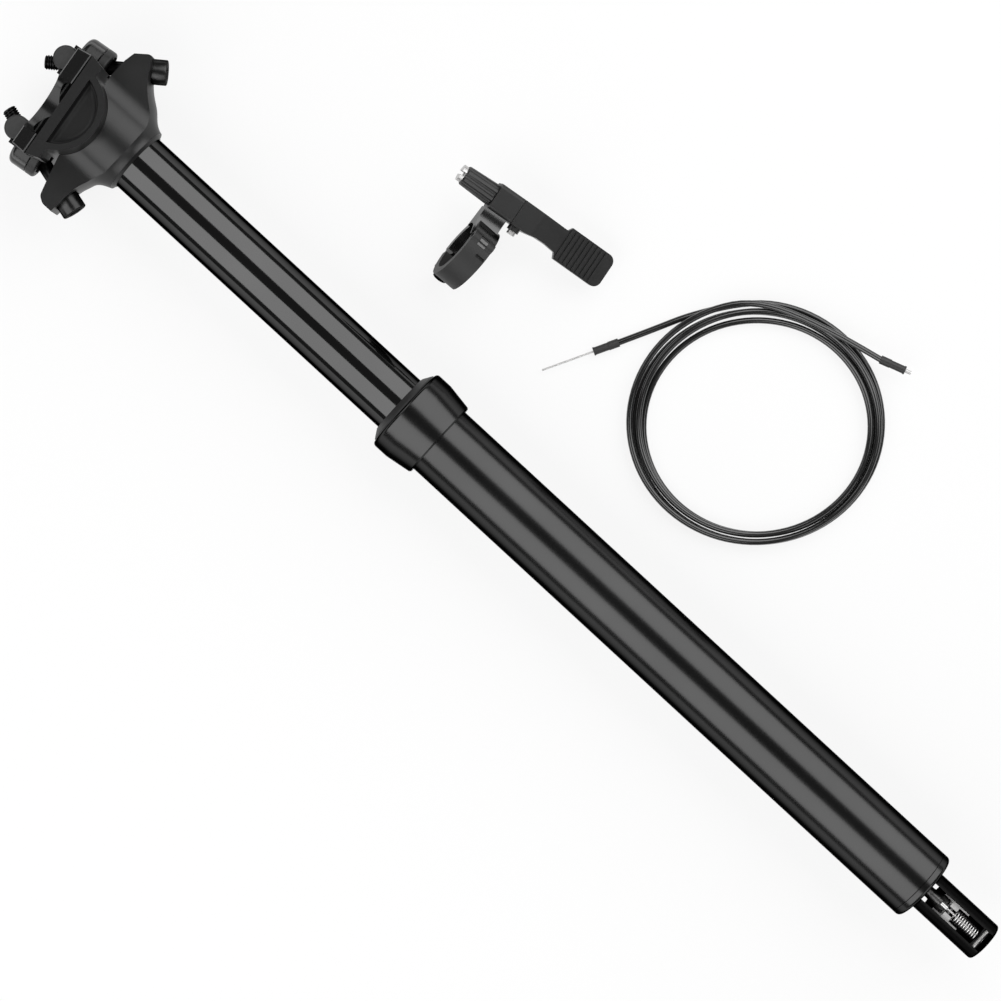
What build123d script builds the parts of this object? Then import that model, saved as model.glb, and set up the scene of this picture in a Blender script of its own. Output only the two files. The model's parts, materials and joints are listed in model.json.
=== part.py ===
"""Dropper seatpost laid flat, with its bar remote and its coiled control cable beside it.

Millimetres. +X runs along the post towards the saddle head, +Z up from the table, and the
bicycle's own sideways direction is Z, so the saddle rails lie along Y. The sketches below
measure from the lower edge of the seal collar; the saved parts measure from halfway between
that edge and the foot's end, the middle of what goes down inside the bicycle frame.
"""

import math
import os

from build123d import *

# Fits and small working values
run_gap = 0.04          # radial running clearance of the sliding tubes and pins
play = 0.1              # clearance between pieces that move past each other
pivot_play = 0.25       # clearance of a bolt in the nut that turns round it
over = 1.0              # overrun of every cut
edge = 0.6              # small broken edge

# Outer tube, collar and seal
tube_d, tube_wall, tube_len = 30.9, 1.55, 271.2
tube_thread = 9.0       # length of tube inside the collar
thread_drop = 0.4       # threaded end is this much smaller in radius than the tube
collar_len, collar_d, collar_low_d = 19.0, 38.4, 35.0
collar_cone, collar_round = 11.5, 1.6
seal_rise, seal_d, seal_lip = 2.8, 35.0, 0.9
bush_low, bush_flange = 18.0, 1.4
key_w, key_deep, key_len, key_count = 3.0, 0.75, 12.0, 3
key_low_room = 15.0     # groove left below the keys at full drop

# Stanchion and gas cartridge
post_d, post_wall = 25.4, 1.9
travel = 140.0
show_len = 146.2        # collar's top to the head's lower edge
overlap = 100.0         # stanchion inside the tube, below the collar's lower edge
socket_deep = 12.3      # stanchion inside the head
low_bush_len = 20.0
gland_len, rod_d = 12.0, 9.0
cart_wall, cart_len, cart_d, cap_len = 1.3, 184.0, 20.6, 8.0
piston_len, stop_gap = 10.0, 0.3

# Foot: end ring, fork, cap and valve mechanism
ring_len, ring_round, ring_edge = 3.8, 1.5, 0.3
plug_len, plug_web, spigot_d = 12.2, 6.0, 18.0
foot_d, foot_len, foot_round, neck_round = 17.5, 27.5, 1.2, 1.5
window_w, window_through, window_back, cap_h, cap_end = 8.5, 5.5, 1.8, 5.5, 0.7
dome_d, dome_low, stem_d, needle_d = 6.6, 11.4, 5.0, 3.1
lever_top, lever_low, lever_thick = 8.0, 20.0, 0.7
lever_back, web_z, web_thick = 2.8, 3.9, 1.2
web_top, web_low, web_slot = 11.8, 15.4, 3.0
pivot_d, pivot_x, pivot_z, pivot_bite = 1.8, 13.8, 1.0, 1.5
cam_d, cam_x, cam_z = 2.0, 12.45, -1.8
wire_d, wire_z, nipple_d, nipple_len = 0.9, 4.7, 2.2, 3.5
barrel_d, barrel_len, barrel_x, cap_floor = 2.8, 8.5, 29.5, 0.5
coil_wire, coil_d, coil_turns = 0.62, 5.2, 10

# Saddle head: its outline and its two flares under the ears, as shares of rise and reach
head_reach, head_rise, neck_d, neck_edge = 38.0, 36.0, 29.6, 1.6
bulge_r, bulge_top, blend_r, ear_half = 19.0, 16.6, 12.0, 10.2
ear_round, tip_share, cradle_r, clamp_tilt = 3.2, 0.9, 18.3, 7.7
clamp_share, clamp_side_share = 0.981, 0.116
outline_shares = [(0.000, 1.000), (0.440, 1.000), (0.520, 0.955), (0.580, 0.784), (0.672, 0.495),
                  (0.860, 0.400), (0.880, -0.250), (0.803, -0.295), (0.844, -0.492), (0.842, -0.700),
                  (0.818, -0.820), (0.683, -0.925), (0.000, -0.925)]
rear_flare_shares = [(0.030, 0.392), (0.110, 0.425), (0.165, 0.460), (0.200, 0.500), (0.233, 0.574), (0.267, 0.650),
                     (0.305, 0.900), (0.325, 1.100)]
front_flare_shares = [(0.030, 0.392), (0.110, 0.425), (0.170, 0.470), (0.239, 0.537), (0.344, 0.612), (0.497, 0.747),
                      (0.636, 0.945), (0.750, 1.100)]
bolt_head_shares = {"rear": (0.239, 0.818), "front": (0.519, -0.855)}

# Rail clamp, in its own frame: u along the rails, w up, z across
rail_d, rail_half, split = 7.0, 22.0, 0.6
clamp_half_u, clamp_half_z, clamp_end_taper = 23.5, 26.5, 1.7
wing_h, shell_wall, moon_deep, moon_round, moon_top, wing_round = 6.0, 2.6, 5.0, 3.0, 4.6, 1.5
top_h, wall_h, block_in, block_out, bright_edge = 8.5, 6.4, 15.0, 10.0, 0.45
waist_r, waist_u, waist_deep = 13.2, -2.5, 8.2
nut_u, nut_w, nut_d, nut_half = 16.9, 9.05, 10.2, 21.0
nose_r, nose_low, nose_round = 8.2, 4.0, 2.4
nose_u = {"rear": -21.4, "front": 22.6}
bolt_d, bolt_head_d, bolt_head_h, bolt_len, hex_w, hex_deep = 6.0, 10.4, 7.0, 42.5, 5.0, 3.5
washer_r, washer_base, washer_half = 4.6, 1.0, 6.0
slot_side, slot_half = 1.4, 3.4

# Bar remote, in its own frame: x from adjuster to thumb pad, y away from the bar, z up
remote_at, remote_tilt, remote_lean, screw_room = (36.5, -90.0), 13.5, -34.0, 0.45
bar_d, ring_wall, ring_w = 22.2, 3.5, 10.3
bar_x, bar_y, bar_z, ring_turn = -10.8, -25.5, -2.0, -5.8
hinge_at, gap_at, gap_w = 62.0, -106.0, 2.0
knuckle_r, knuckle_sink, remote_pin_d, knuckle_share = 2.6, 1.2, 2.4, 0.36
boss_w, boss_out, boss_long, screw_out, screw_d, screw_head_d = 8.4, 18.0, 6.5, 14.8, 3.8, 6.2
arm_low, arm_top, arm_dip_y, arm_dip_z, arm_in_share = -4.6, 3.6, 6.2, 3.4, 0.45
notch_w, notch_long, notch_deep, notch_x, notch_at = 1.3, 3.9, 1.2, 2.6, 86.0
pod_x0, pod_x1, pod_half, pod_low, pod_high, pod_round = -15.3, -4.1, 5.8, -6.2, 5.2, 1.8
tongue_half, tongue_r, axle_d, axle_z = 2.2, 2.6, 3.0, -3.6
hub_half, arm_y0, arm_y1, pad_x0, pad_x1, pad_half = 5.7, -4.6, 5.5, 18.6, 41.8, 7.5
pad_round, pad_thick, rib_h, rib_count, rib_share = 3.4, 2.8, 0.8, 9, 0.55
lever_roof, lever_floor, pad_level, heel_x, heel_z = 4.6, -6.6, 1.2, -2.0, -4.1
anchor_x, anchor_z, anchor_d, anchor_head_d, anchor_head_h = -1.0, 1.2, 2.0, 3.6, 1.6
lug_r, lug_out = 2.6, 2.0
sleeve_d0, sleeve_d1, sleeve_x0, sleeve_x1 = 8.7, 9.9, -30.1, -15.6
flute_count, flute_r, flute_deep = 8, 1.3, 0.55
barrel_screw_d, barrel_tip_d, barrel_tip_len, barrel_slot, barrel_bore = 5.0, 7.2, 1.7, 1.6, 2.2
barrel_in = 6.0

# Control cable, in its own frame: x and y in the table's plane, centre of the coil
cable_at = (-90.3, -92.9)
cable_turn = (-0.7353, -0.6778)
cord_d, turns, coil_x, coil_squash, fan = 2.6, 4, 53.9, 0.945, 0.5
steps_per_turn, climb_share, probe = 16, 0.5, 0.001
turn_pitch, layer_pitch = 3.7, 3.1
ferrule_d, ferrule_len, ferrule_wall, ferrule_lip = 3.6, 11.0, 0.35, 0.6
tip_len, tip_d, inner_d = 2.6, 1.6, 1.0
tail_a = [(-56.2, 33.6), (-42.0, 38.9), (-26.0, 45.3)]
tail_a_dir = [(0.94, 0.34), (0.93, 0.37), (0.93, 0.36)]
tail_b = [(27.0, 40.6), (50.7, 26.4)]
tail_b_dir = [(0.865, -0.50), (0.91, -0.41)]
wire_far = (-87.5, 21.8)

# Derived sizes
tube_r, tube_ri, post_r = tube_d / 2, tube_d / 2 - tube_wall, post_d / 2
post_ri, thread_r = post_r - post_wall, tube_r - thread_drop
tube_low = tube_thread - tube_len
head_x = collar_len + show_len
ring_low = tube_low - ring_len
foot_low = ring_low - foot_len - cap_h
table_z = -clamp_half_z
seat_mid = foot_low / 2
gland_top = gland_len - overlap


def turned(points):
    """Solid of revolution about the post's axis from (x, radius) points."""
    return revolve(make_face(Polyline(*points, close=True)), Axis.X)


def bar(x0, x1, d, bore=0.0):
    """Round bar along X, or a tube where a bore is given."""
    solid = Plane.YZ.offset(x0) * extrude(Circle(d / 2), x1 - x0)
    return solid - Plane.YZ.offset(x0 - over) * extrude(Circle(bore / 2), x1 - x0 + 2 * over) if bore else solid


def pin(p, axis, length, d):
    """Round pin of a length, centred on p, along axis."""
    return Plane(origin=p, z_dir=axis) * Cylinder(d / 2, length)


def block(x0, x1, y0, y1, z0, z1):
    """Box from its corners."""
    return Pos((x0 + x1) / 2, (y0 + y1) / 2, (z0 + z1) / 2) * Box(x1 - x0, y1 - y0, z1 - z0)


def slab(points, z0, z1):
    """Closed outline of (x, y) points, raised from z0 to z1."""
    return Pos(0, 0, z0) * extrude(make_face(Polyline(*points, close=True)), z1 - z0)


def biarc(p0, t0, p1, t1):
    """Two tangent arcs from p0 along t0 to p1 along t1."""
    t0, t1, v = t0.normalized(), t1.normalized(), p1 - p0
    bend, lean = 1 - t0.dot(t1), v.dot(t0 + t1)
    if bend < 1e-9:
        reach = v.dot(v) / (2 * lean)
    else:
        reach = (math.sqrt(lean * lean + 2 * bend * v.dot(v)) - lean) / (2 * bend)
    q0, q1 = p0 + t0 * reach, p1 - t1 * reach
    mid = (q0 + q1) / 2
    return [Edge.make_tangent_arc(p0, t0, mid), Edge.make_tangent_arc(mid, q1 - q0, p1)]


def wound(points, tangents, d):
    """Round wire of diameter d through points with given directions."""
    edges = []
    for i in range(len(points) - 1):
        edges += biarc(points[i], tangents[i], points[i + 1], tangents[i + 1])
    start = Plane(origin=points[0], z_dir=tangents[0])
    return sweep(start * Circle(d / 2), path=Wire(edges)), sum(e.length for e in edges)


def helix(radius, pitch, count, steps=4):
    """Points and directions of a helix up local Z."""
    points, tangents = [], []
    for i in range(count * steps + 1):
        a = 2 * math.pi * i / steps
        points.append(Vector(radius * math.cos(a), radius * math.sin(a), pitch * i / steps))
        tangents.append(Vector(-math.sin(a), math.cos(a), pitch / (2 * math.pi * radius)))
    return points, tangents


def spring(place, radius, length, count, d):
    """Coil spring standing on the plane at place."""
    points, tangents = helix(radius, (length - d) / count, count)
    solid, _ = wound(points, tangents, d)
    return place.location * Pos(0, 0, d / 2) * solid


def save(name, shape):
    """Write one node."""
    placed = Pos(-seat_mid, 0, 0) * shape
    solids = placed.solids()
    export_step(solids[0] if len(solids) == 1 else placed, f"parts/{name}.step")


os.makedirs("parts", exist_ok=True)

# ---- Outer tube group
key_low = gland_top + low_bush_len
groove = block(key_low - travel - key_low_room, key_low + key_len + key_low_room, -key_w / 2 - play,
               key_w / 2 + play, 0, tube_ri + key_deep)
grooves = [Rot(X=360 * i / key_count) * groove for i in range(key_count)]
lower_tube = bar(tube_low, 0, tube_d, 2 * tube_ri) + bar(0, tube_thread, 2 * thread_r, 2 * tube_ri) - grooves
save("lower_tube", lower_tube)

seat_r = tube_r - run_gap
lip_x = collar_len - seal_lip * 4
collar = turned([(0, thread_r), (0, collar_low_d / 2 - edge), (edge, collar_low_d / 2), (collar_cone, collar_d / 2),
                 (collar_len, collar_d / 2), (collar_len, seat_r), (lip_x, seat_r),
                 (lip_x, post_r + seal_lip * 2), (tube_thread + bush_flange, post_r + seal_lip * 2),
                 (tube_thread + bush_flange, thread_r)])
rim = collar.edges().filter_by(GeomType.CIRCLE).filter_by_position(Axis.X, collar_len, collar_len)
collar = fillet(rim.sort_by(SortBy.RADIUS)[-1], collar_round)
save("collar", collar)

save("upper_bushing", turned([(-bush_low, post_r + run_gap), (-bush_low, tube_ri), (tube_thread, tube_ri),
                              (tube_thread, thread_r), (tube_thread + bush_flange, thread_r),
                              (tube_thread + bush_flange, post_r + run_gap)]))

seal_top = collar_len + seal_rise
save("wiper_seal", turned([(lip_x, post_r + seal_lip), (lip_x, seat_r), (collar_len, seat_r),
                           (collar_len, seal_d / 2), (collar_len + edge, seal_d / 2 - edge / 2),
                           (seal_top, post_r + seal_lip), (seal_top, post_r + run_gap),
                           (seal_top - seal_lip, post_r + run_gap)]))

end_ring = turned([(ring_low, spigot_d / 2), (ring_low, tube_r), (tube_low, tube_r), (tube_low, tube_ri),
                   (tube_low + plug_len, tube_ri), (tube_low + plug_len, rod_d / 2),
                   (tube_low + plug_len - plug_web, rod_d / 2), (tube_low + plug_len - plug_web, spigot_d / 2)])
rim = end_ring.edges().filter_by(GeomType.CIRCLE).filter_by_position(Axis.X, ring_low, ring_low)
end_ring = fillet(rim.sort_by(SortBy.RADIUS)[-1], ring_round)
rim = end_ring.edges().filter_by(GeomType.CIRCLE).filter_by_position(Axis.X, tube_low, tube_low)
end_ring = chamfer(rim.sort_by(SortBy.RADIUS)[-1], ring_edge)
save("end_ring", end_ring)

# ---- Piston rod, fixed to the foot, and the foot's fork
rod_low = tube_low + plug_len - plug_web
piston_low = gland_top + stop_gap
rod = bar(rod_low, piston_low + piston_len, rod_d)
rod -= bar(rod_low - over, piston_low - over, needle_d + 2 * run_gap)
rod -= bar(rod_low - over, rod_low + plug_web, stem_d + 2 * play)
save("piston_rod", rod)
cart_ri = cart_d / 2 - cart_wall
save("piston", bar(piston_low, piston_low + piston_len, 2 * (cart_ri - run_gap), rod_d))

foot = bar(ring_low - foot_len, rod_low, foot_d)
foot = foot & turned([(rod_low, 0), (rod_low, spigot_d / 2), (ring_low, spigot_d / 2),
                      (ring_low, foot_d / 2 + over), (ring_low - foot_len, foot_d / 2 + over),
                      (ring_low - foot_len, 0)])
foot += bar(ring_low, rod_low, spigot_d)
flare = turned([(ring_low, 0), (ring_low, foot_d / 2 + neck_round), (ring_low - neck_round, foot_d / 2),
                (ring_low - neck_round, 0)])
foot += flare
foot -= block(ring_low - foot_len - over, ring_low - edge, -window_w / 2, window_w / 2,
              window_back - foot_d / 2, foot_d)
foot -= block(ring_low - window_through, ring_low - edge, -window_w / 2, window_w / 2, -foot_d, foot_d)
foot -= bar(ring_low - over, rod_low + over, stem_d + 2 * run_gap)
pivot = (ring_low - pivot_x, 0, pivot_z)
foot -= pin(pivot, (0, 1, 0), window_w + 2 * pivot_bite, pivot_d)
save("foot_fork", foot)

cap_top = ring_low - foot_len
cap = bar(foot_low, cap_top, foot_d)
rims = cap.edges().filter_by(GeomType.CIRCLE).filter_by_position(Axis.X, foot_low, foot_low)
cap = fillet(rims, foot_round)
cap -= block(foot_low + cap_end, cap_top - cap_floor, -window_w / 2 - play, window_w / 2 + play,
             wire_z - barrel_d, foot_d)
cap -= pin((cap_top, 0, wire_z), (1, 0, 0), 2 * cap_h, wire_d + 4 * play)
save("foot_cap", cap)
save("lever_pivot", pin(pivot, (0, 1, 0), window_w + 2 * pivot_bite, pivot_d))

# ---- Valve plunger, lever, return spring and pull wire in the fork's window
dome_bottom = ring_low - dome_low
dome = turned([(dome_bottom, 0), (dome_bottom, dome_d / 2 - edge), (dome_bottom + edge, dome_d / 2),
               (ring_low - dome_d, dome_d / 2), (ring_low - dome_d / 2, stem_d / 2),
               (rod_low + run_gap, stem_d / 2), (rod_low + run_gap, needle_d / 2),
               (piston_low - 4 * over, needle_d / 2), (piston_low - 4 * over, 0)])
save("valve_plunger", dome)

cheek_y = window_w / 2 - play
cheek = [(ring_low - lever_low, pivot_z), (ring_low - lever_low, web_z + web_thick),
         (ring_low - web_top, web_z + web_thick), (ring_low - lever_top, web_z - web_thick),
         (ring_low - lever_top, pivot_z), (ring_low - web_top, -lever_back),
         (ring_low - web_low, -lever_back)]
side = Plane.XZ * make_face(Polyline(*cheek, close=True))
lever = Part() + [Pos(0, y, 0) * extrude(side, lever_thick) for y in (cheek_y, lever_thick - cheek_y)]
lever += block(ring_low - web_low, ring_low - web_top, -cheek_y, cheek_y, web_z, web_z + web_thick)
lever += pin((ring_low - cam_x, 0, cam_z), (0, 1, 0), 2 * cheek_y - lever_thick, cam_d)
lever -= block(ring_low - web_low - over, ring_low - web_top + over, -web_slot / 2, web_slot / 2,
               web_z - over, web_z + web_thick + over)
lever -= pin(pivot, (0, 1, 0), window_w, pivot_d + 2 * run_gap)
save("actuator_lever", lever)

spring_low = cap_top
spring_len = foot_len - web_low - play
spring_place = Plane(origin=(spring_low, 0, wire_z), x_dir=(0, 1, 0), z_dir=(1, 0, 0))
save("return_spring", spring(spring_place, (coil_d - coil_wire) / 2, spring_len, coil_turns, coil_wire))

wire_top = ring_low - web_top + play / 2
wire = bar(ring_low - barrel_x, wire_top, wire_d) + bar(wire_top, wire_top + nipple_len, nipple_d)
save("pull_wire", Pos(0, 0, wire_z) * wire)
barrel = pin((ring_low - barrel_x, 0, wire_z), (0, 1, 0), barrel_len, barrel_d)
save("cable_barrel", barrel - Pos(0, 0, wire_z) * bar(ring_low - barrel_x, ring_low, wire_d))

# ---- Stanchion group
post_top = head_x + socket_deep
stanchion = bar(-overlap, post_top, post_d, 2 * post_ri)
key_r0 = post_r - key_deep
key = block(key_low, key_low + key_len, -key_w / 2, key_w / 2, key_r0, tube_ri + key_deep - play)
keys = [Rot(X=360 * i / key_count) * key for i in range(key_count)]
save("stanchion", stanchion - keys)
for i in range(key_count):
    save(f"key_{i + 1}", keys[i])
save("lower_bushing", bar(-overlap, key_low - gland_len, 2 * (tube_ri - run_gap), post_d))
save("gland", bar(-overlap, gland_top, 2 * post_ri, rod_d + 2 * run_gap))
save("cartridge_tube", bar(gland_top, gland_top + cart_len, cart_d, 2 * cart_ri))
save("cartridge_cap", turned([(gland_top + cart_len, 0), (gland_top + cart_len, post_ri),
                              (gland_top + cart_len + cap_len, post_ri), (gland_top + cart_len + cap_len, 0)]))

# ---- Saddle head: a slab of the outline, swelling at the middle, cut under the ears by two flares
def on_head(shares):
    return [(head_x + a * head_rise, b * head_reach) for a, b in shares]


outline = Pos(0, 0, -bulge_top) * extrude(make_face(Polyline(*on_head(outline_shares), close=True)), 2 * bulge_top)
tips = [e for e in outline.edges().filter_by(Axis.Z) if abs(e.center().Y) > tip_share * head_reach and
        e.center().X > head_x + edge]
outline = fillet(tips, ear_round)
drop = bulge_top - ear_half
turn = math.acos(1 - drop / (bulge_r + blend_r))
mid_y, mid_z = bulge_r * math.sin(turn), bulge_top - bulge_r * (1 - math.cos(turn))
out_y = mid_y + blend_r * math.sin(turn)
far_y = head_reach + over
half_swell = [Line((-far_y, ear_half), (-out_y, ear_half)),
              Edge.make_tangent_arc(Vector(-out_y, ear_half), Vector(1, 0), Vector(-mid_y, mid_z)),
              ThreePointArc((-mid_y, mid_z), (0, bulge_top), (mid_y, mid_z)),
              Edge.make_tangent_arc(Vector(mid_y, mid_z), Vector(math.cos(turn), -math.sin(turn)),
                                    Vector(out_y, ear_half)),
              Line((out_y, ear_half), (far_y, ear_half)), Line((far_y, ear_half), (far_y, 0)),
              Line((far_y, 0), (-far_y, 0)), Line((-far_y, 0), (-far_y, ear_half))]
swell_face = make_face(half_swell)
swell_face = swell_face + mirror(swell_face, about=Plane.XZ)
head = outline & (Plane.YZ.offset(head_x - over) * extrude(swell_face, head_rise + 2 * over))
for side, shares in ((1, rear_flare_shares), (-1, front_flare_shares)):
    flare = [(head_x + a * head_rise, b * head_reach) for a, b in shares]
    curve = Spline(*flare)
    top_x = head_x + head_rise
    profile = make_face([curve, Line(flare[-1], (top_x, flare[-1][1])), Line((top_x, flare[-1][1]), (top_x, 0)),
                         Line((top_x, 0), (flare[0][0], 0)), Line((flare[0][0], 0), flare[0])])
    half = revolve(profile, Axis.X) & block(head_x - over, top_x + over, min(0, 2 * side * head_reach),
                                            max(0, 2 * side * head_reach), -head_reach, head_reach)
    kept = head & half if side == 1 else kept + (head & half)
head = kept
head += turned([(head_x, 0), (head_x, post_r + edge / 2), (head_x + neck_edge, neck_d / 2),
                (head_x + 2 * neck_edge, neck_d / 2), (head_x + head_rise / 3, post_r), (head_x + head_rise / 3, 0)])

clamp_x, clamp_y = head_x + clamp_share * head_rise, clamp_side_share * head_reach
clamp = Plane(origin=(clamp_x, clamp_y, 0), z_dir=(0, 0, 1),
              x_dir=(math.sin(math.radians(clamp_tilt)), -math.cos(math.radians(clamp_tilt)), 0))
head -= Pos(clamp_x, clamp_y, 0) * Cylinder(cradle_r + play, 4 * bulge_top)
head -= bar(head_x - over, post_top, post_d)

nut_at = {"rear": clamp.from_local_coords(Vector(-nut_u, nut_w, 0)),
          "front": clamp.from_local_coords(Vector(nut_u, nut_w, 0))}
bolts = {}
for name, shares in bolt_head_shares.items():
    (hx, hy), = on_head([shares])
    middle = Vector(hx, hy, 0)
    aim = (nut_at[name] - middle).normalized()
    bolts[name] = Plane(origin=middle, x_dir=(0, 0, 1), z_dir=aim)
for name, place in bolts.items():
    seat = place.offset(bolt_head_h / 2 + washer_base)
    head -= seat.location * Rot(Y=90) * Cylinder(washer_r + play, 2 * (washer_half + play))
    mouth = Pos(0, 0, -head_rise / 2) * Box(2 * (washer_half + play), 2 * (bolt_head_d / 2 + play), head_rise)
    head -= seat.location * mouth
    head -= seat.location * Pos(0, 0, head_rise / 2) * Box(2 * slot_half, bolt_d + 2 * slot_side, head_rise)
save("seat_head", head)

for name, place in bolts.items():
    head_top = place.offset(bolt_head_h / 2)
    bolt = place.location * Cylinder(bolt_head_d / 2, bolt_head_h)
    rims = bolt.edges().filter_by(GeomType.CIRCLE)
    bolt = fillet(rims, edge)
    bolt += head_top.location * Pos(0, 0, bolt_len / 2) * Cylinder(bolt_d / 2, bolt_len)
    hexagon = RegularPolygon(hex_w / 2, 6, major_radius=False)
    bolt -= place.offset(-bolt_head_h / 2).location * extrude(hexagon, hex_deep)
    save(f"bolt_{name}", bolt)
    seat = place.offset(bolt_head_h / 2 + washer_base)
    washer = seat.location * Rot(Y=90) * Cylinder(washer_r, 2 * washer_half)
    keep = head_top.location * Pos(0, 0, bolt_head_d / 2) * Box(2 * bolt_head_d, 2 * bolt_head_d, bolt_head_d)
    washer = washer & keep
    washer -= head_top.location * Cylinder(bolt_d / 2 + play, 2 * bolt_head_d)
    save(f"washer_{name}", washer)

# ---- Rail clamp
half_u, low = clamp_half_u, -split / 2
half_z = clamp_half_z
wings = make_face(Polyline((-half_u, low), (half_u, low), (half_u - clamp_end_taper, -wing_h),
                           (clamp_end_taper - half_u, -wing_h), close=True))
moon = Circle(cradle_r) & Pos(0, -cradle_r) * Rectangle(2 * cradle_r, 2 * (cradle_r + low))
section = wings + moon
inner = [v for v in section.vertices() if abs(v.Y + wing_h) < edge and abs(v.X) < cradle_r]
section = fillet(inner, wing_round)
lower = Pos(0, 0, -half_z) * extrude(section, 2 * half_z)
dish = Cylinder(cradle_r - shell_wall, moon_deep + over) & block(
    -cradle_r, cradle_r, -cradle_r, -moon_top, -half_z, half_z)
dish = fillet(dish.edges().filter_by_position(Axis.Z, -moon_deep, -over).group_by(Axis.Z)[0], moon_round)
for s in (1, -1):
    lower -= Rot(X=0 if s == 1 else 180) * Pos(0, 0, half_z - (moon_deep - over) / 2) * (
        dish if s == 1 else Rot(Z=0) * mirror(dish, about=Plane.XZ))
upper = slab([(-half_u, -low), (half_u, -low), (half_u - edge, wall_h), (edge - half_u, wall_h)], -half_z, half_z)
for s in (1, -1):
    upper -= Pos(waist_u, 0, s * (half_z + waist_r - waist_deep)) * Rot(X=90) * Cylinder(waist_r, 4 * top_h)
for u0, u1 in ((-half_u, -block_in), (block_out, half_u)):
    upper += block(u0, u1, wall_h - over, top_h, -nut_half - play, nut_half + play)
for name, u in nose_u.items():
    nose = Pos(u, (top_h - low) / 2, 0) * Rot(X=90) * Cylinder(nose_r, top_h + low)
    rims = nose.edges().filter_by(GeomType.CIRCLE).filter_by_position(Axis.Y, top_h - over, top_h + over)
    upper += fillet(rims, nose_round)
    nose = Pos(u, (low - nose_low) / 2, 0) * Rot(X=90) * Cylinder(nose_r, nose_low + low)
    rims = nose.edges().filter_by(GeomType.CIRCLE).filter_by_position(Axis.Y, -nose_low - over, -nose_low + over)
    lower += fillet(rims, nose_round / 2)
rims = upper.edges().filter_by_position(Axis.Z, half_z, half_z) + upper.edges().filter_by_position(Axis.Z, -half_z, -half_z)
upper = chamfer(rims, bright_edge)
rails = [Pos(0, 0, s * rail_half) * Rot(Y=90) * Cylinder(rail_d / 2, 4 * half_u) for s in (1, -1)]
upper -= rails
lower -= rails
upper -= [Pos(s * nut_u, nut_w, 0) * Cylinder(nut_d / 2 + play / 2, 2 * (nut_half + play)) for s in (1, -1)]
for name, place in bolts.items():
    slot = place.location * Pos(0, 0, bolt_len / 2) * Box(2 * slot_half, bolt_d + 2 * slot_side, 2 * bolt_len)
    slot = clamp.location.inverse() * slot
    upper -= slot
    lower -= slot
save("lower_clamp", clamp.location * lower)
save("upper_clamp", clamp.location * upper)
for name, place in bolts.items():
    nut = Pos(*nut_at[name]) * Cylinder(nut_d / 2, 2 * nut_half)
    nut = chamfer(nut.edges().filter_by(GeomType.CIRCLE), edge)
    save(f"nut_{name}", nut - place.location * Cylinder(bolt_d / 2 + pivot_play, 4 * bolt_len))

# ---- Bar remote
tilt, lean = math.radians(remote_tilt), math.radians(remote_lean)
across, along = Vector(*cable_turn, 0), Vector(-cable_turn[1], cable_turn[0], 0)
remote_x = (across * math.cos(lean) + along * math.sin(lean)) * math.cos(tilt) - Vector(0, 0, math.sin(tilt))
remote_y = along * math.cos(lean) - across * math.sin(lean)
remote = Plane(origin=(*remote_at, 0), x_dir=remote_x, z_dir=remote_x.cross(remote_y))
remote_parts = {}
ring_r, bore_r = bar_d / 2 + ring_wall, bar_d / 2
ring_frame = Pos(bar_x, bar_y, bar_z) * Rot(Z=ring_turn)
ring_plane = Plane(origin=(0, 0, 0), x_dir=(0, 1, 0), z_dir=(1, 0, 0))


def at_ring(angle, radius, x=0.0):
    a = math.radians(angle)
    return Vector(x, radius * math.cos(a), radius * math.sin(a))


def sector(a0, a1, radius):
    """Pie slice in the ring's plane from angle a0 to a1."""
    steps = 6
    points = [(0, 0)] + [(radius * math.cos(math.radians(a0 + (a1 - a0) * i / steps)),
                          radius * math.sin(math.radians(a0 + (a1 - a0) * i / steps))) for i in range(steps + 1)]
    return ring_plane.location * Pos(0, 0, -ring_w) * extrude(make_face(Polyline(*points, close=True)), 2 * ring_w)


ring_full = ring_plane.location * (Cylinder(ring_r, ring_w))
bore_cut = ring_plane.location * Cylinder(bore_r, 3 * ring_w)
half_gap = math.degrees(gap_w / 2 / ring_r)
gap_plane = ring_plane.location * Rot(Z=gap_at)
tangent_in = (at_ring(gap_at + half_gap, ring_r) - at_ring(gap_at - half_gap, ring_r)).normalized()
screw_mid = at_ring(gap_at, screw_out)
arm_side = gap_plane * block(bore_r, boss_out, gap_w / 2, boss_long, -boss_w / 2, boss_w / 2)
jaw_side = gap_plane * block(bore_r, boss_out, -boss_long, -gap_w / 2, -boss_w / 2, boss_w / 2)
arm_ring = ring_full & sector(gap_at + half_gap, hinge_at, 2 * ring_r)
jaw_ring = ring_full - sector(gap_at - half_gap, hinge_at, 2 * ring_r)
knuckle_in = at_ring(hinge_at, ring_r - knuckle_sink)
knuckle = pin(knuckle_in, (1, 0, 0), ring_w, 2 * knuckle_r)
mid_w = ring_w * knuckle_share
middle = Pos(*knuckle_in) * Box(mid_w, 4 * knuckle_r, 4 * knuckle_r)
relief = pin(knuckle_in, (1, 0, 0), 2 * ring_w, 2 * (knuckle_r + play))
wide = Pos(*knuckle_in) * Box(mid_w + 2 * play, 4 * knuckle_r, 4 * knuckle_r)
pod_y = pod_half
arm_in = arm_in_share * ring_r
arm_outline = [Line((bar_y + arm_in, bar_z - arm_in), (-pod_y, arm_low)), Line((-pod_y, arm_low), (-pod_y, arm_top)),
               ThreePointArc((-pod_y, arm_top), (-pod_y - arm_dip_y, arm_dip_z),
                             (bar_y + knuckle_in.Y, bar_z + knuckle_in.Z + knuckle_r)),
               Line((bar_y + knuckle_in.Y, bar_z + knuckle_in.Z + knuckle_r), (bar_y + arm_in, bar_z - arm_in))]
arm = Plane.YZ.offset(bar_x - ring_w / 2) * extrude(make_face(arm_outline), ring_w)
arm = ring_frame.inverse() * arm - (relief - middle)
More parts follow.
